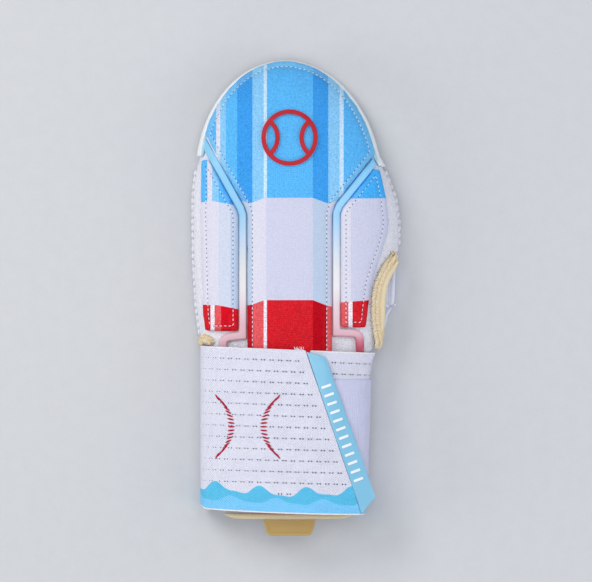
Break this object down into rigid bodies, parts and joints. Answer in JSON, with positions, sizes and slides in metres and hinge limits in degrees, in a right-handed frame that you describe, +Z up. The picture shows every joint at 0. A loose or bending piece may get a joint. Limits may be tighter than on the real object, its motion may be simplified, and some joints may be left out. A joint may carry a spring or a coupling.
{
  "type": "sliding mitt",
  "caption": "Padded sliding mitt for base running: flat hand pocket with a thumb opening, moulded fingertip rim, padded back panels and a wrap-around wrist strap.",
  "frame": {"origin": "under the middle of the whole mitt's bounding box, on the surface that it lies on", "axes": "+Z up from the palm to the back of the hand, +Y towards the fingertips, +X towards the thumb opening"},
  "size_m": [0.1282, 0.295, 0.0465],
  "materials": {
    "knit_white": "matt padded knit",
    "printed_pad": "matt printed fabric over foam",
    "moulded_piping": "satin moulded strip",
    "moulded_white": "satin moulded rim",
    "cream_binding": "matt woven tape",
    "tan_trim": "matt moulded rubber",
    "strap_knit": "matt perforated elastic",
    "loop_pile": "brushed loop pile",
    "moulded_blue": "satin moulded tab",
    "badge_red": "satin moulded badge"
  },
  "bodies": {
    "root": {"palm_panel": "knit_white", "back_shell": "knit_white", "centre_pad": "printed_pad", "outer_pad": "printed_pad", "thumb_pad": "printed_pad", "outer_piping": "moulded_piping", "thumb_piping": "moulded_piping", "fingertip_guard": "moulded_white", "thumb_binding": "cream_binding", "outer_binding": "cream_binding", "rim_binding": "tan_trim", "pull_tab": "tan_trim", "wrist_strap": "strap_knit", "loop_patch": "loop_pile", "strap_tab": "moulded_blue", "badge": "badge_red"}
  },
  "joints": []
}
